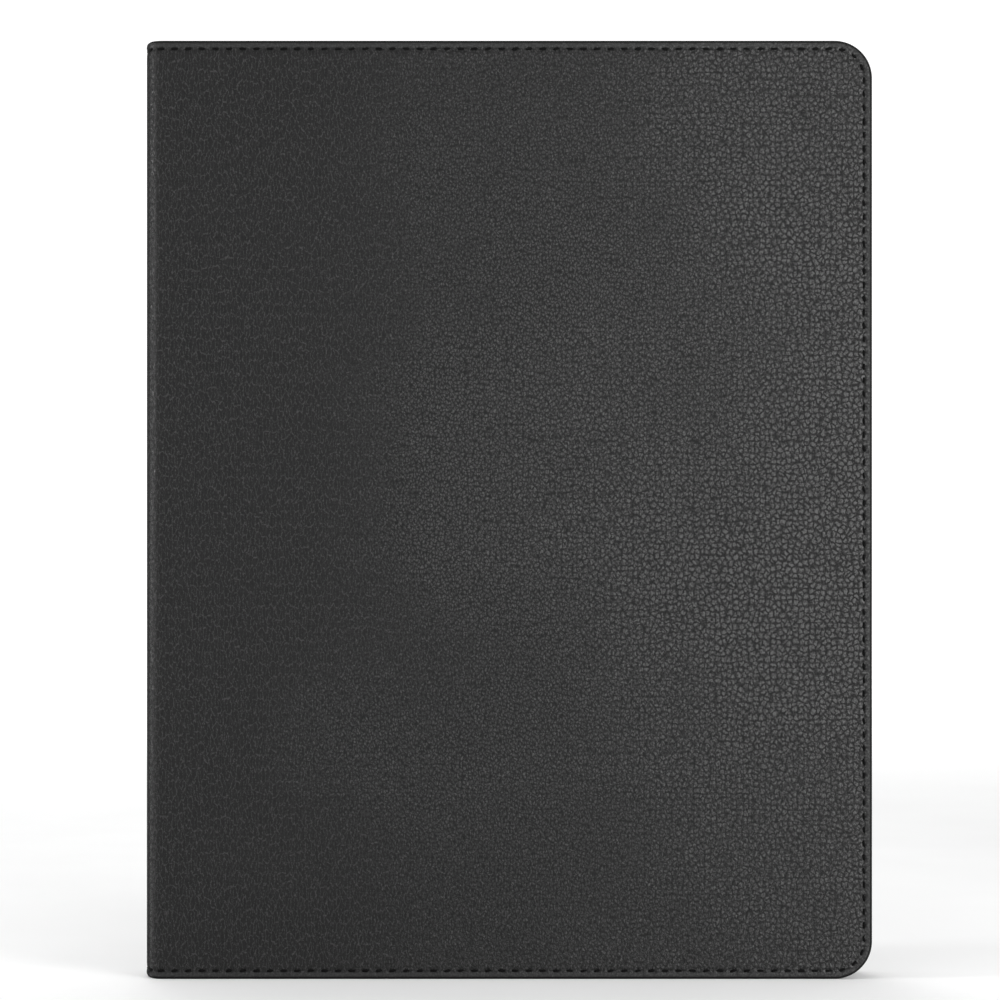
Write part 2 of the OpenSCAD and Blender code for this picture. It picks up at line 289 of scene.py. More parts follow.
# %% A sheet builder
class Sheet:
    """Collects flat-cut points and faces for one sheet of leather or lining."""

    def __init__(self):
        self.points, self.cut, self.marks, self.faces = [], [], [], []

    def add(self, s, z, n, cut=None, marks=(0.0, 0.0)):
        """One point. marks are how far it belongs to the darker rim and to the hem."""
        self.points.append((s, z, n))
        self.cut.append(cut or (s, z))
        self.marks.append(marks)
        return len(self.points) - 1

    def strip(self, first, second):
        """Quads between two rows of points."""
        for a, b, c, d in zip(first, first[1:], second[1:], second):
            self.faces.append((a, b, c, d))

    def fill(self, loops, level, lattice):
        """Triangles inside the first loop and outside the others, with an even scatter of points."""
        ids = [i for loop in loops for i in loop]
        edges, start = [], 0
        for loop in loops:
            size = len(loop)
            edges += [(start + i, start + (i + 1) % size) for i in range(size)]
            start += size
        flat = [Vector(self.points[i][:2]) / MM for i in ids] + [Vector(p) / MM for p in lattice]
        ids = ids + [self.add(p[0], p[1], level) for p in lattice]
        _, _, triangles, origin, _, _ = delaunay_2d_cdt(flat, edges, [], 1, 1e-6)
        holes = [set(loop) for loop in loops[1:]]
        for tri in triangles:
            own = [ids[origin[i][0]] for i in tri]
            if not any(hole.issuperset(own) for hole in holes):
                self.faces.append(tuple(own))

    def make(self, name, side, inwards):
        """The wrapped mesh object. inwards is True for a lining, which faces the tablet."""
        s, z, n = np.array(self.points).T
        mesh = bpy.data.meshes.new(name)
        mesh.from_pydata(wrap(s, z, n, side).tolist(), [], self.faces)
        shape = bmesh.new()
        shape.from_mesh(mesh)
        bmesh.ops.recalc_face_normals(shape, faces=shape.faces)
        facing = side * sum(face.normal.y * face.calc_area() for face in shape.faces)
        if (facing > 0) == inwards:
            bmesh.ops.reverse_faces(shape, faces=shape.faces)
        shape.to_mesh(mesh)
        shape.free()
        uv = mesh.uv_layers.new(name="cut")
        corner = np.zeros(len(mesh.loops), int)
        mesh.loops.foreach_get("vertex_index", corner)
        places = np.array(self.cut) * (-side, 1)
        uv.data.foreach_set("uv", places[corner].astype(np.float32).ravel())
        for label, values in zip(("rim", "hem"), np.array(self.marks, np.float32).T):
            marked = mesh.attributes.new(label, "FLOAT", "POINT")
            marked.data.foreach_set("value", np.ascontiguousarray(values))
        mesh.polygons.foreach_set("use_smooth", [True] * len(mesh.polygons))
        return new_object(name, mesh)


print("sheet builder ready")

# %% [markdown]
# One function lays out any of the six sheets: leather and lining for the front, for the back's
# bonded half and for the stand flap. `first` and `grid_end` are the columns where its regular grid
# starts and ends, and `last` is where it stops, or None if it goes round the open edge.

# %% Lay out one sheet
GRID_STEP = 8 * MM
LATTICE = 8 * MM


def rows_between(low, high, step):
    return np.linspace(low, high, max(2, round((high - low) / step)) + 1)[1:-1]


def ring_marks(inset, depth):
    """The rim is the rounded edge. The hem is the strip between the seam and the rim."""
    hem = 1 - smooth(0.5 * MM, 0.9 * MM, abs(inset - 1.4 * MM))
    return float(smooth(0.0, 0.06 * MM, -depth)), float(hem)


def ring_rows(sheet, rings, columns, relief):
    """One row of points for each ring, and how far each ring is along the unrolled leather."""
    rows, reach = [], 0.0
    for j, (inset, depth) in enumerate(rings):
        if j:
            reach += math.dist(rings[j - 1], (inset, depth))
        unrolled = rings[0][0] - reach
        row = []
        for k in columns:
            s, z = along_edge(COLUMNS[k], inset)
            lift = relief(COLUMNS[k], inset) if abs(depth - rings[0][1]) < 1e-6 else 0.0
            cut = along_edge(COLUMNS[k], unrolled)
            row.append(sheet.add(s, z, depth + lift, cut, ring_marks(inset, depth)))
        rows.append(row)
    return rows


def lay_out(rings, relief, first, grid_end, last=None, hole=None):
    """A Sheet from column first, to column last or round the open edge."""
    sheet = Sheet()
    level = rings[0][1]
    if last is None:
        spans = [list(range(first, LAST - first + 1))]
    else:
        spans = [list(range(first, last + 1)), list(range(LAST - last, LAST - first + 1))]
    bands = [ring_rows(sheet, rings, span, relief) for span in spans]
    for rows in bands:
        for inner, outer in zip(rows, rows[1:]):
            sheet.strip(inner, outer)
    bottom = dict(zip(spans[0], bands[0][0]))
    top = {LAST - k: v for k, v in zip(spans[-1], bands[-1][0])}
    heights = rows_between(BAND, CASE_H - BAND, GRID_STEP)
    grid = [[bottom[k] for k in range(first, grid_end + 1)]]
    for z in heights:
        grid.append([sheet.add(COLUMNS[k], z, level) for k in range(first, grid_end + 1)])
    grid.append([top[k] for k in range(first, grid_end + 1)])
    for low, high in zip(grid, grid[1:]):
        sheet.strip(high, low)
    left_up = [row[-1] for row in grid[1:-1]]
    if last is None:
        ring = bands[0][0][grid_end - first : len(spans[0]) - (grid_end - first)]
        right_s = SHEET_S - BAND
    else:
        right_s = COLUMNS[last]
        right_up = [sheet.add(right_s, z, level) for z in heights]
        ring = [bottom[k] for k in range(grid_end, last + 1)] + right_up
        ring += [top[k] for k in range(last, grid_end - 1, -1)]
    loops = [ring + left_up[::-1]]
    if hole:
        loops.append(hole(sheet))
    left_s = COLUMNS[grid_end]
    lattice = [
        (s, z)
        for s in rows_between(left_s, right_s, LATTICE)
        for z in rows_between(BAND, CASE_H - BAND, LATTICE)
        if min(s - left_s, right_s - s) > 3 * MM and not (hole and window_offset(s, z) < 4 * MM)
    ]
    sheet.fill(loops, level, lattice)
    return sheet


# %% [markdown]
# The camera window is a rounded opening in the flap. Its leather rolls over the edge and down
# through the board, so the window gets its own rings, laid out round a rounded rectangle.

# %% Rings around the camera window
opening = next(o for o in frame["record"]["physics"]["openings"] if o["name"] == "camera_window")
WINDOW_X = (opening["box_m"][0][0] + opening["box_m"][1][0]) / 2
WINDOW_Z = (opening["box_m"][0][2] + opening["box_m"][1][2]) / 2
LENS_W, LENS_H, LENS_R = 36 * MM, 34 * MM, 9 * MM
WINDOW_GROW = 3.2 * MM
WINDOW_S = FLAT_S + WINDOW_X - FOLD_X
WINDOW_STEPS = 12


def window_outline(grow, steps=WINDOW_STEPS):
    """Points (x, z) round the lens opening, grown outwards, in the case's own frame."""
    points = []
    half_w, half_h = LENS_W / 2 - LENS_R, LENS_H / 2 - LENS_R
    for quarter, (sx, sz) in enumerate(((1, 1), (-1, 1), (-1, -1), (1, -1))):
        for i in range(steps + 1):
            turn = math.radians(90 * quarter + 90 * i / steps)
            reach = LENS_R + grow
            x = WINDOW_X + sx * half_w + reach * math.cos(turn)
            points.append((x, WINDOW_Z + sz * half_h + reach * math.sin(turn)))
    return points


def window_offset(s, z):
    """How far a flat-cut place lies outside the window's edge: negative inside."""
    dx = abs(s - WINDOW_S) - (LENS_W / 2 - LENS_R)
    dz = abs(z - WINDOW_Z) - (LENS_H / 2 - LENS_R)
    outside = math.hypot(max(dx, 0), max(dz, 0)) + min(max(dx, dz), 0)
    return outside - LENS_R - WINDOW_GROW


def window_rings(rings):
    """Adds rings round the window to a sheet and returns the outermost, as a loop for fill."""

    def build(sheet):
        loops = []
        for away, depth in rings:
            outline = window_outline(WINDOW_GROW + away)
            marks = (float(smooth(0.0, 0.06 * MM, -depth)), 0.0)
            loops.append([sheet.add(FLAT_S + x - FOLD_X, z, depth, marks=marks) for x, z in outline])
        for outer, inner in zip(loops, loops[1:]):
            sheet.strip(inner + inner[:1], outer + outer[:1])
        return loops[0]

    return build


LEATHER_WINDOW = [(1.1 * MM, 0.0)] + arc_points(4, 0.8 * MM, (0.8 * MM, -0.8 * MM), 90, 180)
LEATHER_WINDOW += arc_points(3, 0.5 * MM, (0.5 * MM, -SHELL + 0.5 * MM), 180, 270)
LEATHER_WINDOW += [(0.9 * MM, -SHELL), (1.0 * MM, -SHELL + 0.35 * MM), (2.4 * MM, -SHELL + 0.45 * MM)]
LINING_WINDOW = [(1.2 * MM, -SHELL - 0.05 * MM), (1.05 * MM, -SHELL - 0.04 * MM)]
LINING_WINDOW.append((0.95 * MM, -SHELL + 0.2 * MM))
print("camera window centre, mm:", round(WINDOW_X / MM, 1), round(WINDOW_Z / MM, 1))

# %% [markdown]
# ## The six sheets
#
# Leather that crosses a joint bends, so each sheet crosses one joint only, and two sheets meet
# where nothing moves: in the middle of the spine, and just before the stand's crease.
# The crease is a groove pressed into the leather, and the lining has a finer one.

# %% Make the leather and the lining
def lining_relief(t, inset):
    return -seam_relief(t, inset, 0.7)


def press_crease(sheet, width, depth):
    """Presses the stand's groove into a sheet."""
    for i, (s, z, n) in enumerate(sheet.points):
        groove = 1 - smooth(width * 0.35, width, abs(s - CREASE_S))
        sheet.points[i] = (s, z, n - float(groove) * depth)


def thicken(piece, thickness):
    """Gives a sheet its thickness, away from its face, and closes its rim."""
    solid = piece.modifiers.new("thickness", "SOLIDIFY")
    solid.thickness = thickness
    solid.offset = -1
    bpy.context.view_layer.objects.active = piece
    with bpy.context.temp_override(object=piece, active_object=piece):
        bpy.ops.object.modifier_apply(modifier="thickness")


SHEETS = {
    "front": dict(side=-1, first=0, grid_end=FOLD_END),
    "back": dict(side=1, first=0, grid_end=FOLD_END, last=SPLIT),
    "flap": dict(side=1, first=SPLIT, grid_end=CREASE_END),
}
LEATHER_T, LINING_T = 0.35 * MM, 0.3 * MM
leather, lining = {}, {}
for part, span in SHEETS.items():
    place = {key: value for key, value in span.items() if key != "side"}
    is_flap = part == "flap"
    holes = [window_rings(rings) if is_flap else None for rings in (LEATHER_WINDOW, LINING_WINDOW)]
    outer = lay_out(leather_rings(), seam_relief, hole=holes[0], **place)
    inner = lay_out(lining_rings(), lining_relief, hole=holes[1], **place)
    if is_flap:
        press_crease(outer, 1.7 * MM, 0.75 * MM)
        press_crease(inner, 1.2 * MM, -0.3 * MM)
    leather[part] = outer.make("leather_" + part, span["side"], inwards=False)
    lining[part] = inner.make("lining_" + part, span["side"], inwards=True)
    thicken(leather[part], LEATHER_T)
    thicken(lining[part], LINING_T)
    print(part, "faces:", len(leather[part].data.polygons), len(lining[part].data.polygons))

# %% [markdown]
# ## Materials
#
# Each finish is a small node tree. Two helpers keep the trees short: one starts a material with its
# shader, and one adds a node, with values or other nodes' outputs plugged into its inputs.

# %% Material helpers
def start_material(name, **constants):
    """A material with a Principled shader whose constant sockets are set directly."""
    made = bpy.data.materials.new(name)
    made.use_nodes = True
    tree = made.node_tree
    tree.nodes.clear()
    output = tree.nodes.new("ShaderNodeOutputMaterial")
    shader = tree.nodes.new("ShaderNodeBsdfPrincipled")
    tree.links.new(shader.outputs["BSDF"], output.inputs["Surface"])
    for socket, value in constants.items():
        shader.inputs[socket.replace("_", " ")].default_value = value
    return made, tree, shader


def add(tree, kind, inputs=(), **settings):
    """One node. inputs maps a socket's name or number to a value or to another node's output."""
    made = tree.nodes.new(kind)
    for setting, value in settings.items():
        setattr(made, setting, value)
    for socket, value in dict(inputs).items():
        if isinstance(value, bpy.types.NodeSocket):
            tree.links.new(value, made.inputs[socket])
        else:
            made.inputs[socket].default_value = value
    return made


def math_node(tree, operation, *values, clamp=False):
    return add(tree, "ShaderNodeMath", enumerate(values), operation=operation, use_clamp=clamp).outputs[0]


def remap(tree, value, low, high, to_low=0.0, to_high=1.0):
    inputs = {0: value, 1: low, 2: high, 3: to_low, 4: to_high}
    return add(tree, "ShaderNodeMapRange", inputs, interpolation_type="SMOOTHSTEP").outputs[0]


def stretch(tree, place, factors):
    """The place with each direction multiplied by its own factor."""
    return add(tree, "ShaderNodeVectorMath", {0: place, 1: factors}, operation="MULTIPLY").outputs[0]


def mix_numbers(tree, factor, first, second):
    return add(tree, "ShaderNodeMix", {0: factor, 2: first, 3: second}).outputs[0]


def ramp(tree, factor, *stops):
    """A colour ramp from (position, grey) or (position, (r, g, b)) stops."""
    made = add(tree, "ShaderNodeValToRGB", {"Fac": factor})
    elements = made.color_ramp.elements
    for i, (position, colour) in enumerate(stops):
        element = elements[i] if i < 2 else elements.new(position)
        element.position = position
        rgb = (colour,) * 3 if isinstance(colour, float) else colour
        element.color = (*rgb, 1)
    return made.outputs["Color"]


def bump(tree, height, distance):
    return add(tree, "ShaderNodeBump", {"Height": height, "Distance": distance}).outputs["Normal"]


print("material helpers ready")

# %% [markdown]
# ## Pebble-grain leather
#
# The grain is pressed into the leather by a plate. Near the spine it is worn nearly flat, with thin
# creases that are raised and lighter; their lighter colour is a painted highlight. Across the middle
# it has fine pebbles of about a millimetre, and towards the open edge full ones of nearly two, and
# towards the top and bottom ends the grain is fainter, a painted fall-off of the light. Voronoi cells
# give both, laid out on the flat cut, so the grain runs round the folds as real leather does, and a
# noise bends their outlines. The colour follows the grain's height: creases and pores are painted
# darker, as painted shade, and pebble tops lighter, as a painted highlight. The fold is rubbed and
# blotched, and the spine's face is duller and painted darker, painted shade for its dark grazing
# edge. The leather round the edge is darker and duller too, and the mesh marks it with a `rim` value.

# %% Leather
def cut_in_mm(tree):
    uv = add(tree, "ShaderNodeUVMap", uv_map="cut").outputs["UV"]
    return add(tree, "ShaderNodeVectorMath", {0: uv, "Scale": 1000.0}, operation="SCALE").outputs[0]


def cells(tree, place, size, feature, randomness=1.0):
    """Distance to the edge or the centre (F1) of cells of a size (across, up) in millimetres."""
    cell = stretch(tree, place, (1 / size[0], 1 / size[1], 1))
    inputs = {"Vector": cell, "Scale": 1.0, "Randomness": randomness}
    made = add(tree, "ShaderNodeTexVoronoi", inputs, voronoi_dimensions="2D", feature=feature)
    return made.outputs["Distance"]


def pebbles(tree, place, size, randomness):
    """Height 0 to 1 of rounded pebbles."""
    body = remap(tree, cells(tree, place, size, "DISTANCE_TO_EDGE", randomness), 0.0, 0.24)
    crown = remap(tree, cells(tree, place, size, "F1", randomness), 0.95, 0.1)
    return math_node(tree, "MULTIPLY", body, crown)


def flat_noise(tree, place, scale, detail, roughness=0.5, distortion=0.0):
    """The outputs of a noise on the flat cut."""
    inputs = {"Vector": place, "Scale": scale, "Detail": detail}
    inputs.update({"Roughness": roughness, "Distortion": distortion})
    return add(tree, "ShaderNodeTexNoise", inputs, noise_dimensions="2D").outputs


def leather_zones(tree, flat):
    """Millimetres from the spine's middle, and how full the grain is there, midway and overall."""
    parts = add(tree, "ShaderNodeSeparateXYZ", {0: flat}).outputs
    distance = math_node(tree, "ABSOLUTE", parts["X"])
    patch = flat_noise(tree, flat, 0.012, 2.0)["Fac"]
    far = math_node(tree, "ADD", distance, remap(tree, patch, 0.3, 0.7, -28.0, 28.0))
    # The grain is fainter, in colour and in relief, towards the top and bottom ends: a painted fall-off
    # of the light there.
    low_end = remap(tree, parts["Y"], 5.0, 130.0, 0.6, 1.0)
    high_end = remap(tree, parts["Y"], 205.0, 280.0, 1.0, 0.68)
    painted_falloff = math_node(tree, "MULTIPLY", low_end, high_end)
    open_side = math_node(tree, "MULTIPLY", remap(tree, far, 85.0, 235.0), painted_falloff)
    midway = math_node(tree, "MULTIPLY", remap(tree, far, 10.0, 120.0), painted_falloff)
    spine_side = remap(tree, distance, 10.0, 7.0, 0.0, 0.7)
    return distance, spine_side, midway, math_node(tree, "MAXIMUM", open_side, spine_side)


def leather_shape(tree, flat, pores, midway, fullness):
    """Height 0 to 1 of the pressed grain."""
    wander = flat_noise(tree, flat, 0.75, 4.0, 0.6)["Color"]
    offset = {0: wander, 1: (0.5, 0.5, 0.5)}
    centred = add(tree, "ShaderNodeVectorMath", offset, operation="SUBTRACT").outputs[0]
    bending = {0: centred, 1: (1.5, 1.5, 0), 2: flat}
    bent = add(tree, "ShaderNodeVectorMath", bending, operation="MULTIPLY_ADD").outputs[0]
    full = pebbles(tree, bent, (1.7, 1.75), 0.85)
    fine = pebbles(tree, bent, (0.85, 1.25), 1.0)
    streaks = flat_noise(tree, stretch(tree, flat, (1.0, 0.3, 1.0)), 1.1, 3.0, distortion=0.6)["Fac"]
    # Thin creases along the cells' edges: raised in the relief, and lighter in colour, which is a painted
    # highlight of the creases catching the light.
    creases = remap(tree, cells(tree, bent, (1.0, 3.6), "DISTANCE_TO_EDGE"), 0.11, 0.03)
    crease_ridges_and_highlights = math_node(tree, "MULTIPLY", creases, remap(tree, pores, 0.36, 0.56))
    faint = math_node(tree, "MULTIPLY_ADD", crease_ridges_and_highlights, 0.38, remap(tree, streaks, 0.25, 0.75, 0.14, 0.30))
    raised = math_node(tree, "MULTIPLY_ADD", fine, 0.68, 0.05)
    lined = math_node(tree, "MULTIPLY_ADD", crease_ridges_and_highlights, 0.22, raised)
    mottled = math_node(tree, "MULTIPLY_ADD", fine, 0.35, math_node(tree, "MULTIPLY", full, 0.78))
    grain = mix_numbers(tree, fullness, mix_numbers(tree, midway, faint, lined), mottled)
    hem = add(tree, "ShaderNodeAttribute", attribute_name="hem").outputs["Fac"]
    return mix_numbers(tree, math_node(tree, "MULTIPLY", hem, 0.65), grain, 0.6)


def leather_material():
    made, tree, shader = start_material("black_leather", Specular_IOR_Level=0.28)
    flat = cut_in_mm(tree)
    distance, spine_side, midway, fullness = leather_zones(tree, flat)
    pores = flat_noise(tree, flat, 1.6, 4.0, 0.7)["Fac"]
    blotch = flat_noise(tree, flat, 0.75, 2.0, 0.6)["Fac"]
    shape = leather_shape(tree, flat, pores, midway, fullness)
    rim = add(tree, "ShaderNodeAttribute", attribute_name="rim").outputs["Fac"]
    contrast = remap(tree, fullness, 0.0, 1.0, 0.8, 1.6)
    speckle = math_node(tree, "MULTIPLY", math_node(tree, "SUBTRACT", pores, 0.5), contrast)
    wear = math_node(tree, "MULTIPLY", spine_side, 2.4)
    worn = math_node(tree, "MULTIPLY", math_node(tree, "SUBTRACT", blotch, 0.5), wear)
    # Near the spine's middle the colour is painted darker: painted shade for the spine's dark grazing
    # edge, with the rubbed blotches of real wear mixed in.
    spine_shade_and_wear = math_node(tree, "MULTIPLY_ADD", remap(tree, distance, 6.8, 5.2), -0.42, worn)
    # The whole spine zone, within about 10 mm of its middle, is painted darker too: more painted shade.
    shape_with_spine_shade = math_node(tree, "MULTIPLY_ADD", spine_side, -0.3, shape)
    # The tone follows the grain's height and its pores: creases and pores are painted darker, as painted
    # shade, and pebble tops lighter, as a painted highlight.
    speckled = math_node(tree, "ADD", math_node(tree, "ADD", speckle, spine_shade_and_wear), shape_with_spine_shade, clamp=True)
    tone = ramp(tree, speckled, (0.0, 0.0015), (0.3, 0.009), (0.6, 0.026), (1.0, 0.075))
    # The leather round the edge, marked by rim, is set near-black.
    rim_mix = {0: rim, 6: tone, 7: (0.0008, 0.0008, 0.0008, 1)}
    colour = add(tree, "ShaderNodeMix", rim_mix, data_type="RGBA").outputs[2]
    tree.links.new(colour, shader.inputs["Base Color"])
    rubbed = math_node(tree, "MULTIPLY", remap(tree, distance, 9.6, 8.2), remap(tree, distance, 5.8, 7.0))
    polished = math_node(tree, "MULTIPLY", rubbed, remap(tree, blotch, 0.35, 0.6, 0.3, 1.0))
    matt = remap(tree, shape, 0.0, 1.0, 0.66, 0.44)
    dull = math_node(tree, "MULTIPLY_ADD", remap(tree, distance, 6.4, 5.4), 0.3, matt)
    gloss = math_node(tree, "MULTIPLY_ADD", polished, -0.26, dull)
    tree.links.new(mix_numbers(tree, rim, gloss, 0.95), shader.inputs["Roughness"])
    height = math_node(tree, "MULTIPLY_ADD", pores, 0.4, shape)
    bare = math_node(tree, "SUBTRACT", 1.0, rim, clamp=True)
    pressed = math_node(tree, "MULTIPLY", height, bare)
    tree.links.new(bump(tree, pressed, 0.24 * MM), shader.inputs["Normal"])
    return made


LEATHER = leather_material()
print("leather nodes:", len(LEATHER.node_tree.nodes))

# %% [markdown]
# ## Microfibre, thread, plastic and metal
#
# Microfibre has a soft, brushed nap: broad patches where the fibres lie another way, and a fine
# tooth. Sewing thread is twisted from strands, so stripes wind round it. The tray is moulded in a
# soft plastic with a fine spark-eroded texture, and the stand's catches are bare steel.

# %% The other finishes
def place_in_mm(tree):
    spot = add(tree, "ShaderNodeTexCoord").outputs["Object"]
    return add(tree, "ShaderNodeVectorMath", {0: spot, "Scale": 1000.0}, operation="SCALE").outputs[0]


def noise(tree, place, scale, detail=3.0, roughness=0.5):
    inputs = {"Vector": place, "Scale": scale, "Detail": detail, "Roughness": roughness}
    return add(tree, "ShaderNodeTexNoise", inputs).outputs["Fac"]


def microfibre_material(name, dark, light):
    looks = dict(Roughness=0.92, Specular_IOR_Level=0.15, Sheen_Weight=0.35, Sheen_Roughness=0.4)
    made, tree, shader = start_material(name, **looks)
    brushed = stretch(tree, place_in_mm(tree), (1.0, 1.0, 0.35))
    nap = noise(tree, brushed, 0.09, 3.0)
    fibre = noise(tree, brushed, 3.2, 5.0, 0.7)
    mixed = math_node(tree, "MULTIPLY_ADD", fibre, 0.45, math_node(tree, "MULTIPLY", nap, 0.55))
    tree.links.new(ramp(tree, mixed, (0.32, dark), (0.68, light)), shader.inputs["Base Color"])
    tree.links.new(bump(tree, fibre, 0.10 * MM), shader.inputs["Normal"])
    return made


def thread_material():
    made, tree, shader = start_material("black_thread", Specular_IOR_Level=0.1)
    along = add(tree, "ShaderNodeAttribute", attribute_name="along").outputs["Fac"]
    around = add(tree, "ShaderNodeAttribute", attribute_name="around").outputs["Fac"]
    wound = math_node(tree, "MULTIPLY_ADD", along, 5.0, math_node(tree, "MULTIPLY", around, 2.0))
    strand = math_node(tree, "PINGPONG", wound, 0.5)
    fuzz = noise(tree, place_in_mm(tree), 9.0)
    height = math_node(tree, "MULTIPLY_ADD", fuzz, 0.3, math_node(tree, "MULTIPLY", strand, 2.0))
    tree.links.new(ramp(tree, height, (0.1, 0.0006), (1.1, 0.004)), shader.inputs["Base Color"])
    tree.links.new(remap(tree, fuzz, 0.3, 0.7, 0.7, 0.9), shader.inputs["Roughness"])
    tree.links.new(bump(tree, height, 0.06 * MM), shader.inputs["Normal"])
    return made


def plastic_material(name, dark, light, gloss, texture, specular=0.4):
    made, tree, shader = start_material(name, Specular_IOR_Level=specular)
    place = place_in_mm(tree)
    grain = noise(tree, place, texture, 4.0, 0.65)
    cloud = noise(tree, place, 0.05, 3.0)
    tree.links.new(ramp(tree, cloud, (0.35, dark), (0.65, light)), shader.inputs["Base Color"])
    tree.links.new(remap(tree, grain, 0.3, 0.7, gloss - 0.06, gloss + 0.08), shader.inputs["Roughness"])
    tree.links.new(bump(tree, grain, 0.03 * MM), shader.inputs["Normal"])
    return made


def metal_material(name, dark, light, factors, gloss):
    made, tree, shader = start_material(name, Metallic=1.0)
    scratch = noise(tree, stretch(tree, place_in_mm(tree), factors), 2.5, 6.0, 0.7)
    tree.links.new(ramp(tree, scratch, (0.3, dark), (0.7, light)), shader.inputs["Base Color"])
    tree.links.new(remap(tree, scratch, 0.3, 0.7, gloss, gloss + 0.15), shader.inputs["Roughness"])
    tree.links.new(bump(tree, scratch, 0.01 * MM), shader.inputs["Normal"])
    return made


def board_material():
    made, tree, shader = start_material("grey_board", Roughness=0.95, Specular_IOR_Level=0.1)
    pulp = noise(tree, place_in_mm(tree), 1.6, 6.0, 0.75)
    grey = ramp(tree, pulp, (0.3, (0.07, 0.066, 0.06)), (0.7, (0.15, 0.142, 0.13)))
    tree.links.new(grey, shader.inputs["Base Color"])
    tree.links.new(bump(tree, pulp, 0.08 * MM), shader.inputs["Normal"])
    return made


def film_material():
    made, tree, shader = start_material("bonding_film", Specular_IOR_Level=0.5)
    cloud = noise(tree, place_in_mm(tree), 0.4, 4.0)
    amber = ramp(tree, cloud, (0.3, (0.55, 0.52, 0.42)), (0.7, (0.74, 0.71, 0.60)))
    tree.links.new(amber, shader.inputs["Base Color"])
    tree.links.new(remap(tree, cloud, 0.3, 0.7, 0.3, 0.5), shader.inputs["Roughness"])
    return made


LINING = microfibre_material("microfibre_lining", 0.045, 0.085)
PAD = microfibre_material("microfibre_pad", 0.035, 0.06)
THREAD = thread_material()
TRAY = plastic_material("soft_black_plastic", 0.012, 0.017, 0.5, 5.0)
BUTTON = plastic_material("hard_black_plastic", 0.014, 0.02, 0.34, 8.0, 0.5)
BOARD = board_material()
FILM = film_material()
NICKEL = metal_material("nickel_plate", 0.48, 0.62, (1, 1, 1), 0.18)
STEEL = metal_material("zinc_steel", 0.30, 0.46, (0.15, 1, 3), 0.32)
print("materials:", sorted(m.name for m in bpy.data.materials))

# %% [markdown]
# ## Stitches with Geometry Nodes
#
# A lockstitch shows as a short length of thread that comes up through one hole, lies across the
# leather and goes down the next. The tree bends one short curve, gives it a round section, sets
# it on every point of a guide, turned by the guide's own directions and a little at random, and
# makes the copies real. It stores where each point is along and around the thread, for the twist.

# %% The stitch tree
STITCH_SIZES = {"Length": 1.8 * MM, "Thickness": 0.92 * MM, "Dip": 0.28 * MM}
STITCH_TURNS = {"Slant": 8.0, "Jitter": 12.0}


def stitch_tree():
    tree = bpy.data.node_groups.new("stitches", "GeometryNodeTree")
    sockets = tree.interface
    sockets.new_socket("Guide", in_out="INPUT", socket_type="NodeSocketGeometry")
    for name, value in {**STITCH_SIZES, **STITCH_TURNS}.items():
        socket = sockets.new_socket(name, in_out="INPUT", socket_type="NodeSocketFloat")
        socket.default_value = value
    sockets.new_socket("Seed", in_out="INPUT", socket_type="NodeSocketInt").default_value = 3
    sockets.new_socket("Thread", in_out="INPUT", socket_type="NodeSocketMaterial")
    sockets.new_socket("Stitches", in_out="OUTPUT", socket_type="NodeSocketGeometry")
    given = tree.nodes.new("NodeGroupInput").outputs
    half = math_node(tree, "MULTIPLY", given["Length"], 0.5)
    down = math_node(tree, "MULTIPLY", given["Dip"], -1.0)
    ends = []
    for x in (math_node(tree, "MULTIPLY", half, -1.0), half):
        ends.append(add(tree, "ShaderNodeCombineXYZ", {"X": x, "Z": down}).outputs[0])
    rise = add(tree, "ShaderNodeCombineXYZ", {"Z": given["Dip"]}).outputs[0]
    path = {"Resolution": 7, "Start": ends[0], "Middle": rise, "End": ends[1]}
    bow = add(tree, "GeometryNodeCurveQuadraticBezier", path)
    section = {"Resolution": 7, "Radius": math_node(tree, "MULTIPLY", given["Thickness"], 0.5)}
    circle = add(tree, "GeometryNodeCurvePrimitiveCircle", section)
    marked = []
    for curve, label in ((bow, "along"), (circle, "around")):
        share = add(tree, "GeometryNodeSplineParameter").outputs["Factor"]
        stored = {"Geometry": curve.outputs[0], "Name": label, "Value": share}
        marked.append(add(tree, "GeometryNodeStoreNamedAttribute", stored).outputs[0])
    swept = {"Curve": marked[0], "Profile Curve": marked[1], "Fill Caps": True}
    thread = add(tree, "GeometryNodeCurveToMesh", swept).outputs[0]
    ways = []
    for name in ("outwards", "seamwards"):
        named = add(tree, "GeometryNodeInputNamedAttribute", {"Name": name}, data_type="FLOAT_VECTOR")
        ways.append(named.outputs[0])
    axes = dict(primary_axis="Z", secondary_axis="X")
    facing = add(tree, "FunctionNodeAxesToRotation", {0: ways[0], 1: ways[1]}, **axes).outputs[0]
    low = math_node(tree, "SUBTRACT", given["Slant"], given["Jitter"])
    high = math_node(tree, "ADD", given["Slant"], given["Jitter"])
    chance = add(tree, "FunctionNodeRandomValue", data_type="FLOAT")
    for socket, value in ((2, low), (3, high), (8, given["Seed"])):
        tree.links.new(value, chance.inputs[socket])
    twist = math_node(tree, "RADIANS", chance.outputs[1])
    turn = add(tree, "FunctionNodeAxisAngleToRotation", {"Axis": (0, 0, 1), "Angle": twist}).outputs[0]
    turning = {0: facing, 1: turn}
    turned = add(tree, "FunctionNodeRotateRotation", turning, rotation_space="LOCAL").outputs[0]
    copies = {"Points": given["Guide"], "Instance": thread, "Rotation": turned}
    placed = add(tree, "GeometryNodeInstanceOnPoints", copies).outputs[0]
    real = add(tree, "GeometryNodeRealizeInstances", {0: placed}).outputs[0]
    smoothed = add(tree, "GeometryNodeSetShadeSmooth", {0: real}).outputs[0]
    finished = {"Geometry": smoothed, "Material": given["Thread"]}
    sewn = add(tree, "GeometryNodeSetMaterial", finished).outputs[0]
    tree.links.new(sewn, tree.nodes.new("NodeGroupOutput").inputs[0])
    return tree


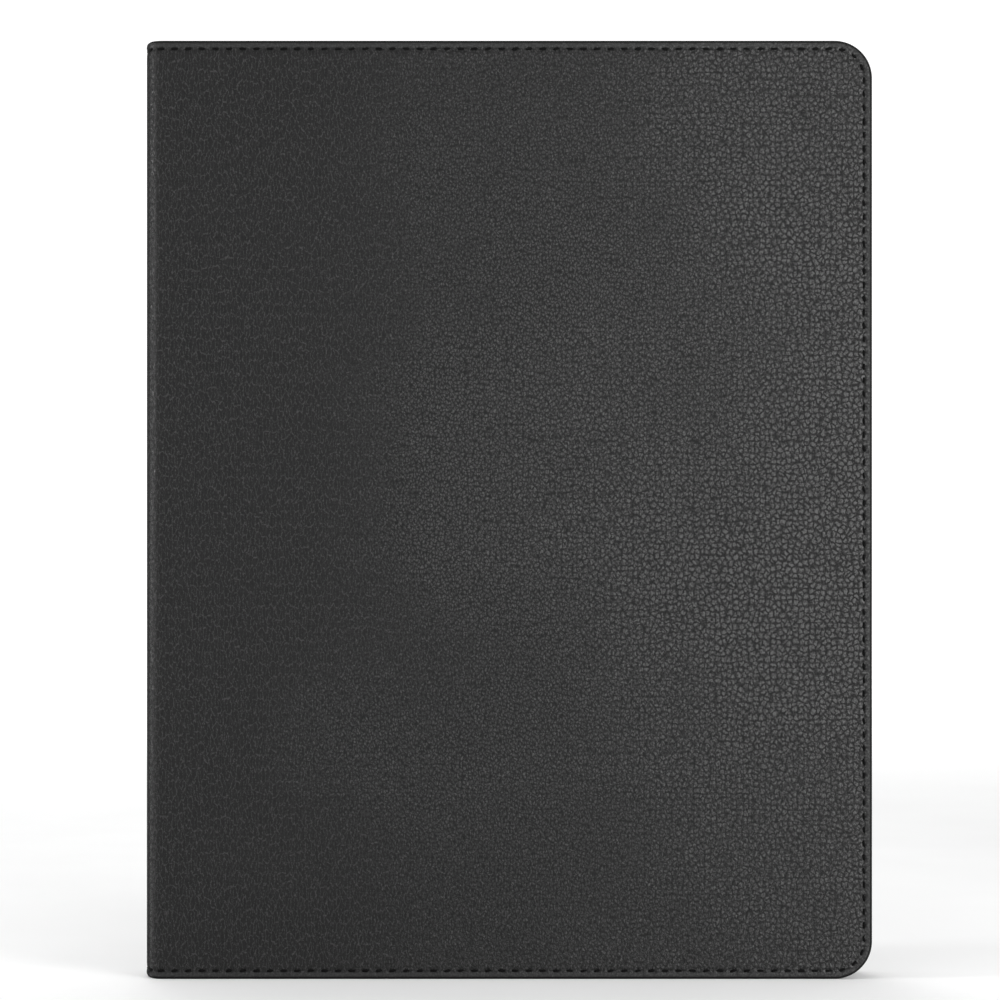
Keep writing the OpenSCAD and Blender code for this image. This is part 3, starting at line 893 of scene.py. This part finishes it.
STITCH_TREE = stitch_tree()
print("stitch tree:", len(STITCH_TREE.nodes), "nodes")

# %% [markdown]
# Each guide is a loose set of points, one for each stitch, with the seam's direction and the way
# out of the leather. The same stitch shows on both faces, so each seam gets one guide for each
# face. A modifier's inputs are set by their identifiers, and the result becomes a plain mesh.

# %% Sew the seams
THREAD_OUT = -0.44 * MM
THREAD_IN = -SHELL + 0.22 * MM
NUDGE = 0.01 * MM


def stitch_places(side, low, high, depth, way):
    """Guide points for the stitches whose distance from the spine's middle is in a range."""
    points, outwards, seamwards = [], [], []
    for i in range(STITCHES):
        t = (i + 0.5) * PITCH
        if not low <= min(t, SEAM_L - t) < high:
            continue
        at = along_edge(t, SEAM_IN)
        before, after = (along_edge(t + step, SEAM_IN) for step in (-NUDGE, NUDGE))
        points.append(wrap(*at, depth, side))
        outwards.append(way * (wrap(*at, depth + NUDGE, side) - wrap(*at, depth, side)))
        seamwards.append(wrap(*after, depth, side) - wrap(*before, depth, side))
    return points, outwards, seamwards


def sew(name, side, low, high, depth, way):
    points, outwards, seamwards = stitch_places(side, low, high, depth, way)
    mesh = bpy.data.meshes.new(name + "_guide")
    mesh.from_pydata([tuple(p) for p in points], [], [])
    for label, vectors in (("outwards", outwards), ("seamwards", seamwards)):
        unit = np.array(vectors) / np.linalg.norm(vectors, axis=1)[:, None]
        stored = mesh.attributes.new(label, "FLOAT_VECTOR", "POINT")
        stored.data.foreach_set("vector", unit.ravel())
    guide = new_object(name + "_guide", mesh)
    sewing = guide.modifiers.new("sewing", "NODES")
    sewing.node_group = STITCH_TREE
    socket = next(i for i in STITCH_TREE.interface.items_tree if i.name == "Thread")
    sewing[socket.identifier] = THREAD
    result = evaluated_mesh(guide)
    result.name = name
    bpy.data.objects.remove(guide)
    print(name, len(points), "stitches,", len(result.polygons), "faces")
    return new_object(name, result)


SPLIT_T = COLUMNS[SPLIT]
SEAMS = {"front": (-1, 0, SEAM_L), "back": (1, 0, SPLIT_T), "flap": (1, SPLIT_T, SEAM_L)}
stitches, inner_stitches = {}, {}
for part, seam in SEAMS.items():
    stitches[part] = sew("stitches_" + part, *seam, THREAD_OUT, 1)
for part, seam in SEAMS.items():
    inner_stitches[part] = sew("inner_stitches_" + part, *seam, THREAD_IN, -1)

# %% [markdown]
# ## The moulded tray
#
# The tray is one moulding: a floor, a wall that runs round it, and a thin lip that the tablet snaps
# under. Its wall is a profile swept round a rounded rectangle. The ring round the cameras and the
# bosses round the buttons are joined on, and every opening is cut with a cutter whose ends flare,
# which leaves the soft edge of a real moulding.

# %% Loft helpers
def rounded_outline(x0, x1, z0, z1, radius, steps=12):
    """Points round a rounded rectangle, counter-clockwise."""
    corners = ((x1, z1, 0), (x0, z1, 90), (x0, z0, 180), (x1, z0, 270))
    points = []
    for x, z, start in corners:
        cx = x - radius if x == x1 else x + radius
        cz = z - radius if z == z1 else z + radius
        for i in range(steps + 1):
            turn = math.radians(start + 90 * i / steps)
            points.append((cx + radius * math.cos(turn), cz + radius * math.sin(turn)))
    return points


def mesh_object(name, points, faces, material=None):
    """A new object from points and faces, with its normals made to face outwards."""
    shape = bmesh.new()
    made = [shape.verts.new(p) for p in points]
    for face in faces:
        shape.faces.new([made[i] for i in face])
    bmesh.ops.recalc_face_normals(shape, faces=shape.faces)
    mesh = bpy.data.meshes.new(name)
    shape.to_mesh(mesh)
    shape.free()
    if material:
        mesh.materials.append(material)
    return new_object(name, mesh)


def loft(loops):
    """Points and faces of a closed solid through equal loops, with flat ends."""
    size = len(loops[0])
    points = [p for loop in loops for p in loop]
    faces = [tuple(range(size)), tuple(range(len(points) - size, len(points)))]
    for k in range(len(loops) - 1):
        for i in range(size):
            j = (i + 1) % size
            faces.append((k * size + i, k * size + j, (k + 1) * size + j, (k + 1) * size + i))
    return points, faces


def gather(name, solids):
    """One object from several separate solids, to use as one cutter."""
    points, faces = [], []
    for own_points, own_faces in solids:
        faces += [tuple(i + len(points) for i in face) for face in own_faces]
        points += own_points
    return mesh_object(name, points, faces)


def combine(piece, tool, operation):
    """Joins a tool to a piece, or cuts it out, and removes the tool."""
    step = piece.modifiers.new(operation, "BOOLEAN")
    step.operation = operation
    step.object = tool
    step.solver = "MANIFOLD"
    result = evaluated_mesh(piece)
    piece.modifiers.clear()
    piece.data = result
    bpy.data.objects.remove(tool)


def finish_edges(piece, degrees=40):
    """Smooth shading, with edges sharper than the angle kept crisp."""
    piece.data.polygons.foreach_set("use_smooth", [True] * len(piece.data.polygons))
    piece.data.set_sharp_from_angle(angle=math.radians(degrees))


print("loft helpers ready")

# %% [markdown]
# The bay is a millimetre larger than the pad all round. The tray's back is where the bonding film
# starts, and only the camera ring stands further back.

# %% Shape the tray's wall and floor
PAD_ROOM = 1 * MM
BAY = (pad_low.x - PAD_ROOM, pad_high.x + PAD_ROOM, pad_low.z - PAD_ROOM, pad_high.z + PAD_ROOM)
BAY_R = 18 * MM
WALL = 1.5 * MM
LIP_T, LIP_W = 1.0 * MM, 1.2 * MM
TRAY_FRONT = tray_low.y
TRAY_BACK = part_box("tray_bond")[0].y
FLOOR = pad_high.y
BAY_FRONT = TRAY_FRONT + LIP_T
BAY_MID = (BAY_FRONT + pad_low.y) / 2


def bay_loop(grow, y):
    x0, x1, z0, z1 = BAY
    outline = rounded_outline(x0 - grow, x1 + grow, z0 - grow, z1 + grow, BAY_R + grow, 16)
    return [(x, y, z) for x, z in outline]


def wall_profile():
    """(grow, y) from the floor, up the inner wall, over the lip and down the outer wall."""
    inner = arc_points(3, 0.7 * MM, (-0.7 * MM, FLOOR - 0.7 * MM), 90, 0)
    lip = arc_points(3, 0.35 * MM, (-LIP_W + 0.35 * MM, TRAY_FRONT + 0.35 * MM), 180, 270)
    front = arc_points(5, 1.3 * MM, (WALL - 1.3 * MM, TRAY_FRONT + 1.3 * MM), 270, 360)
    back = arc_points(5, 1.2 * MM, (WALL - 1.2 * MM, TRAY_BACK - 1.2 * MM), 0, 90)
    under = [(0, BAY_FRONT), (-LIP_W + 0.2 * MM, BAY_FRONT), (-LIP_W, BAY_FRONT - 0.2 * MM)]
    return inner + under + lip + front + back


wall_loops = [bay_loop(grow, y) for grow, y in wall_profile()]
tray = mesh_object("tray_moulding", *loft(wall_loops), TRAY)
print("tray wall and floor:", len(tray.data.polygons), "faces")

# %% [markdown]
# A button sits in a wall, so it has its own directions: out of the wall, along it, and through the
# case. One function turns those into places on the right wall or on the top wall.

# %% Join the camera ring and the button bosses
def middle_of(node):
    low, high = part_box(node)
    return (low + high) / 2


WALLS = {"power_button": "top", "volume_up_button": "right", "volume_down_button": "right"}
BUTTONS = {button: (wall, middle_of(button)) for button, wall in WALLS.items()}
BUTTON_L, BUTTON_W = 10 * MM, 3.2 * MM
BOSS_OUT = WALL + 0.9 * MM
BUTTON_TOP = BOSS_OUT + 0.4 * MM
FLANGE = 0.7 * MM
RING_TOP = tray_high.y
RING_GROW = 1.8 * MM
SOFT = 0.5 * MM


def on_wall(button, out, along, through):
    wall, centre = BUTTONS[button]
    if wall == "right":
        return (BAY[1] + out, BAY_MID + through, centre.z + along)
    return (centre.x + along, BAY_MID + through, BAY[3] + out)


def pill(button, out, grow, length=BUTTON_L, width=BUTTON_W):
    """A rounded loop round a button, at a height out of the wall."""
    half_l, half_w = length / 2 + grow, width / 2 + grow
    outline = rounded_outline(-half_l, half_l, -half_w, half_w, half_w - 0.15 * MM, 6)
    return [on_wall(button, out, along, through) for along, through in outline]


def window_loop(grow, y):
    return [(x, y, z) for x, z in window_outline(grow)]


def stack(loop_at, levels):
    """A solid through loops at (grow, level) pairs."""
    return loft([loop_at(grow, level) for grow, level in levels])


ring_round = arc_points(4, SOFT, (0, RING_TOP - SOFT), 0, 90)
ring_levels = [(RING_GROW, FLOOR + 0.3 * MM)] + [(RING_GROW - SOFT + d, y) for d, y in ring_round]
solids = [stack(window_loop, ring_levels)]
boss_round = arc_points(4, SOFT, (0, BOSS_OUT - SOFT), 0, 90)
boss_levels = [(1.5 * MM, 0.4 * MM), (1.5 * MM, BOSS_OUT - SOFT)]
boss_levels += [(1.0 * MM + d, out) for d, out in boss_round[1:]]
for button in BUTTONS:
    solids.append(loft([pill(button, out, grow, BUTTON_L + 1 * MM) for grow, out in boss_levels]))
combine(tray, gather("additions", solids), "UNION")
print("tray with ring and bosses:", len(tray.data.polygons), "faces")

# %% [markdown]
# The openings are the charging port, four speaker slots, the long window for the stylus, the
# camera opening, the buttons' holes and the shallow recesses for the stand's steel catches.

# %% Cut the tray's openings
PORT = (14 * MM, 6 * MM)
SPEAKER = (24 * MM, 2.6 * MM)
SPEAKER_X = 62 * MM
stylus = next(o for o in frame["record"]["physics"]["openings"] if o["name"] == "stylus_window")
STYLUS_Z = (stylus["box_m"][0][2] - 0.5 * MM, stylus["box_m"][1][2] + 0.5 * MM)
STYLUS_H = 5 * MM
FLARE = 0.35 * MM
CLEAR = 0.15 * MM
PAST = 1 * MM
BAY_X = (BAY[0] + BAY[1]) / 2


def flared(start, end):
    """(grow, level) pairs of a cutter that flares past end, where it leaves the wall."""
    way = 1 if end > start else -1
    mouth = []
    for turn in np.radians((0, 30, 60, 90)):
        level = end - way * FLARE * (1 - math.sin(turn))
        mouth.append((FLARE - FLARE * math.cos(turn), level))
    return [(0, start)] + mouth + [(FLARE, end + way * PAST)]


def end_slot(x, size, wall_z, way):
    """A cutter through the bottom wall (way -1) or the top wall (way 1)."""
    half_w, half_h = size[0] / 2, size[1] / 2

    def loop_at(grow, z):
        radius = half_h + grow - 0.1 * MM
        x0, x1 = x - half_w - grow, x + half_w + grow
        outline = rounded_outline(x0, x1, -half_h - grow, half_h + grow, radius, 6)
        return [(px, BAY_MID + py, z) for px, py in outline]

    return stack(loop_at, flared(wall_z - way * PAST, wall_z + way * WALL))


def stylus_loop(grow, x):
    half = STYLUS_H / 2 + grow
    outline = rounded_outline(-half, half, STYLUS_Z[0] - grow, STYLUS_Z[1] + grow, 1.6 * MM + grow, 6)
    return [(x, BAY_MID + py, z) for py, z in outline]


def catch_loop(x, z, y, radius=6.1 * MM, steps=40):
    turns = [2 * math.pi * i / steps for i in range(steps)]
    return [(x + radius * math.cos(a), y, z + radius * math.sin(a)) for a in turns]


plate_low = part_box("catch_plates")[0]
CATCHES = [(30 * MM, 36 * MM), (30 * MM, 252 * MM), (98 * MM, 36 * MM), (98 * MM, 206 * MM)]
cuts = [end_slot(BAY_X, PORT, BAY[2], -1)]
for x in (-SPEAKER_X, SPEAKER_X):
    cuts.append(end_slot(x, SPEAKER, BAY[2], -1))
    cuts.append(end_slot(x, SPEAKER, BAY[3], 1))
cuts.append(stack(stylus_loop, flared(BAY[1] - PAST, BAY[1] + WALL)))
lens_levels = [(0.4 * MM, FLOOR - PAST), (0.4 * MM, FLOOR), (0, FLOOR + 0.4 * MM)]
lens_levels += [(grow, y) for grow, y in flared(FLOOR, RING_TOP)[1:]]
cuts.append(stack(window_loop, lens_levels))
for x, z in CATCHES:
    cuts.append(loft([catch_loop(x, z, y) for y in (plate_low.y, TRAY_BACK + PAST)]))
SEAT = 1.4 * MM
for button in BUTTONS:
    wide = [pill(button, out, FLANGE + CLEAR) for out in (-0.5 * MM, SEAT)]
    narrow = [pill(button, out, CLEAR + grow) for grow, out in flared(SEAT, BOSS_OUT)]
    cuts.append(loft(wide + narrow))
combine(tray, gather("cutters", cuts), "DIFFERENCE")
finish_edges(tray)
print("tray with its openings:", len(tray.data.polygons), "faces")

# %% [markdown]
# ## Button covers and the tray's pad
#
# Each button cover has a flange that keeps it in the wall and a stem with a soft, slightly domed
# top. The pad on the tray's floor is thin microfibre with a rolled edge.

# %% Make the button covers and the pad
DOME = 0.6 * MM


def button_cover(button):
    levels = [(FLANGE, 0.8 * MM), (FLANGE, 1.3 * MM), (0, 1.3 * MM), (0, BUTTON_TOP - DOME)]
    loops = [pill(button, out, grow) for grow, out in levels]
    dome = arc_points(5, DOME, (0, BUTTON_TOP - 0.65 * MM), 0, 90)[1:]
    loops += [pill(button, out, d - DOME) for d, out in dome]
    loops.append(pill(button, BUTTON_TOP, -1.1 * MM))
    piece = mesh_object(button + "_cover", *loft(loops), BUTTON)
    finish_edges(piece, 50)
    return piece


covers = {button: button_cover(button) for button in BUTTONS}
pad_y = (pad_low.y, pad_high.y)
EDGE = 0.15 * MM
pad_levels = [(-PAD_ROOM, pad_y[1]), (-PAD_ROOM, pad_y[0] + EDGE), (-PAD_ROOM - EDGE, pad_y[0])]
pad = mesh_object("tray_pad_microfibre", *loft([bay_loop(grow, y) for grow, y in pad_levels]), PAD)
HOLE = 1 * MM
window_cut = [(HOLE, pad_y[1] + EDGE), (HOLE, pad_y[0] + EDGE)]
window_cut += [(HOLE + EDGE, pad_y[0]), (HOLE + EDGE, pad_y[0] - EDGE)]
combine(pad, gather("pad_window", [stack(window_loop, window_cut)]), "DIFFERENCE")
finish_edges(pad)
print("button covers:", sorted(covers), "pad faces:", len(pad.data.polygons))

# %% [markdown]
# ## Finish and place the pieces
#
# Every sheet and seam gets its finish and is baked into the case's own frame, and the imported
# pieces it stands for are hidden. The tray, its pad and the button covers each ride on one body.
# The case's own boards, magnets, catches and bonding film stay as they are in the imported model,
# with their own finishes.

# %% Dress, join and replace
JOINS = {
    "front": ("spine", "front_cover", (SPINE_L, FLAT_S), -1),
    "back": ("spine", "back_cover", (SPINE_L, FLAT_S), 1),
    "flap": ("back_cover", "stand_flap", (CREASE_S - 2 * MM, CREASE_S + 2 * MM), 1),
}
REPLACED = {
    "front": {
        "leather": ["front_leather", "front_fold_leather", "spine_leather"],
        "lining": ["front_lining", "front_fold_lining", "spine_lining"],
        "thread": ["front_seam_thread", "spine_seam_thread"],
    },
    "back": {
        "leather": ["back_leather", "back_fold_leather"],
        "lining": ["back_lining", "back_fold_lining"],
        "thread": ["back_seam_thread"],
    },
    "flap": {
        "leather": ["flap_leather", "crease_leather"],
        "lining": ["flap_lining", "crease_lining"],
        "thread": ["flap_seam_thread"],
    },
}
for part, (body_a, body_b, span, side) in JOINS.items():
    for slot, piece, material, depth in (
        ("leather", leather[part], LEATHER, 0),
        ("lining", lining[part], LINING, -SHELL),
        ("thread", stitches[part], THREAD, 0),
        ("thread", inner_stitches[part], THREAD, -SHELL),
    ):
        if not piece.data.materials:
            piece.data.materials.append(material)
        start, end = (Vector(wrap(s, 0, depth, side)) for s in span)
        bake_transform(piece)
        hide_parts(*REPLACED[part][slot])
for piece, body, node, slot in (
    (tray, "back_cover", "tray", "tray"),
    (pad, "back_cover", "tray_pad", "pad"),
    *((covers[button], button, button, "button") for button in BUTTONS),
):
    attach(piece, body)
    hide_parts(node)
KEPT = {
    "front_board": BOARD,
    "spine_board": BOARD,
    "back_board": BOARD,
    "flap_board": BOARD,
    "tray_bond": FILM,
    "closure_magnets": NICKEL,
    "wake_magnet": NICKEL,
    "flap_magnets": NICKEL,
    "catch_plates": STEEL,
}
for node, material in KEPT.items():
    slots = frame["nodes"][node].data.materials
    slots.clear()
    slots.append(material)

# %% [markdown]
# ## Floor, light and camera
#
# The case stands on a pale floor in soft studio light. A large soft light at the front right picks
# out the pebbles on the open side, a narrow one at the left draws a thin line down the fold, and a
# pale sky fills the rest. The camera is level with the middle of the case.

# %% Set the stage
def floor_material():
    """Pale card that brightens with distance, like the lit end of a studio sweep."""
    made, tree, shader = start_material("pale_floor", Roughness=0.8, Specular_IOR_Level=0.1)
    place = place_in_mm(tree)
    card = ramp(tree, noise(tree, place, 0.01, 3.0), (0.3, 0.85), (0.7, 0.88))
    tree.links.new(card, shader.inputs["Base Color"])
    away = add(tree, "ShaderNodeVectorMath", {0: place}, operation="LENGTH").outputs["Value"]
    shader.inputs["Emission Color"].default_value = (1, 1, 1, 1)
    tree.links.new(remap(tree, away, 400.0, 2200.0, 0.07, 1.0), shader.inputs["Emission Strength"])
    return made


FLOOR_CORNERS = [(-9, -9, 0.0), (9, -9, 0.0), (9, 9, 0.0), (-9, 9, 0.0)]
floor = mesh_object("floor", FLOOR_CORNERS, [(0, 1, 2, 3)], floor_material())
if floor.data.polygons[0].normal.z < 0:
    floor.data.flip_normals()


def area_light(name, place, target, size, power):
    lamp = bpy.data.lights.new(name, "AREA")
    lamp.shape = "RECTANGLE"
    lamp.size, lamp.size_y = size
    lamp.energy = power
    made = new_object(name, lamp)
    made.location = place
    made.rotation_euler = (Vector(target) - Vector(place)).to_track_quat("-Z", "Y").to_euler()


middle = Vector((0, 0, CASE_H / 2))
area_light("key", (0.62, -0.50, 0.17), middle, (0.4, 0.4), 6.6)
area_light("overhead", (0, 0.5, 3.0), (0, 0.5, 0), (5, 5), 78)
area_light("fold_line", (-0.75, -0.13, 0.28), middle, (0.06, 0.22), 2.7)
area_light("behind", (-0.4, 1.5, 0.9), middle, (1.0, 0.6), 8)

world = bpy.data.worlds.new("studio")
bpy.context.scene.world = world
world.use_nodes = True
sky = world.node_tree
sky.nodes.clear()
seen = add(sky, "ShaderNodeLightPath").outputs["Is Camera Ray"]
looking = add(sky, "ShaderNodeTexCoord").outputs["Generated"]
direction = add(sky, "ShaderNodeSeparateXYZ", {0: looking}).outputs
strength = remap(sky, direction["Y"], 0.2, 0.8, 0.28, 0.06)
pale = add(sky, "ShaderNodeBackground", {"Color": (1, 1, 1, 1), "Strength": strength})
white = add(sky, "ShaderNodeBackground", {"Color": (1, 1, 1, 1), "Strength": 1.2})
chosen = add(sky, "ShaderNodeMixShader", {0: seen, 1: pale.outputs[0], 2: white.outputs[0]})
sky.links.new(chosen.outputs[0], add(sky, "ShaderNodeOutputWorld").inputs["Surface"])
bpy.context.scene.view_settings.view_transform = "Standard"

CAMERA_AWAY = 850 * MM
FRAME_W = 308.8 * MM
SENSOR_W = 36
lens = bpy.data.cameras.new("camera")
lens.sensor_width = SENSOR_W
lens.lens = SENSOR_W * CAMERA_AWAY / FRAME_W
lens.shift_x, lens.shift_y = -0.0081, 0.0098
camera = new_object("camera", lens)
camera.location = (0, front_low.y - CAMERA_AWAY, CASE_H / 2)
camera.rotation_euler = (math.pi / 2, 0, 0)
bpy.context.scene.camera = camera
print("camera at", [round(v, 3) for v in camera.location], "lens", round(lens.lens, 1))

# %% The end
import json
